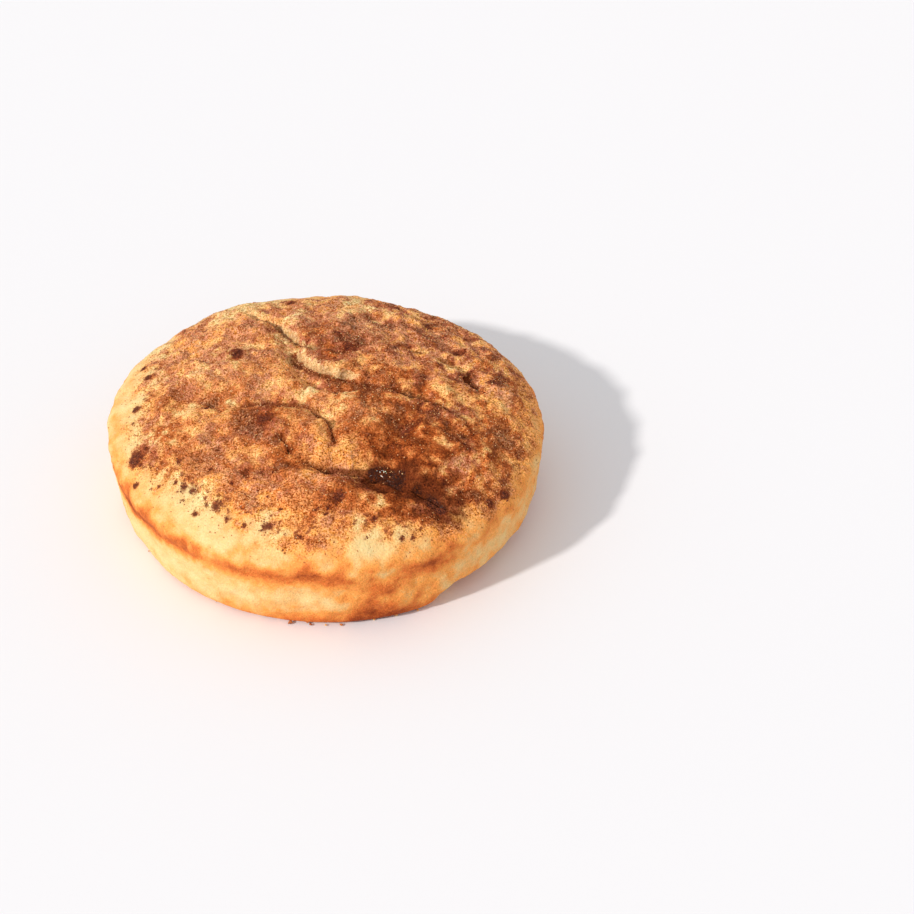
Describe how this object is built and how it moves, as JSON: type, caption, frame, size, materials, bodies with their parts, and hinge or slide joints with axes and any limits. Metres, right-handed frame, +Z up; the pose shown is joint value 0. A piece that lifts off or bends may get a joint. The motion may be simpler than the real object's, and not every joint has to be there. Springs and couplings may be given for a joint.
{
  "type": "focaccia",
  "caption": "Round sweet focaccia: a thick flat-based loaf with a moulded foot, a waist under the domed crown and folded creases in its cinnamon-sugared top.",
  "frame": {"origin": "middle of the flat base, on the surface that the loaf rests on", "axes": "+Z up through the crown, -Y towards the front, +X to the right, where the foot is undercut"},
  "size_m": [0.1302, 0.13, 0.044],
  "materials": {
    "crust": "matt golden crust, dusted on top with cinnamon sugar"
  },
  "bodies": {
    "root": {"focaccia": "crust"}
  },
  "joints": []
}
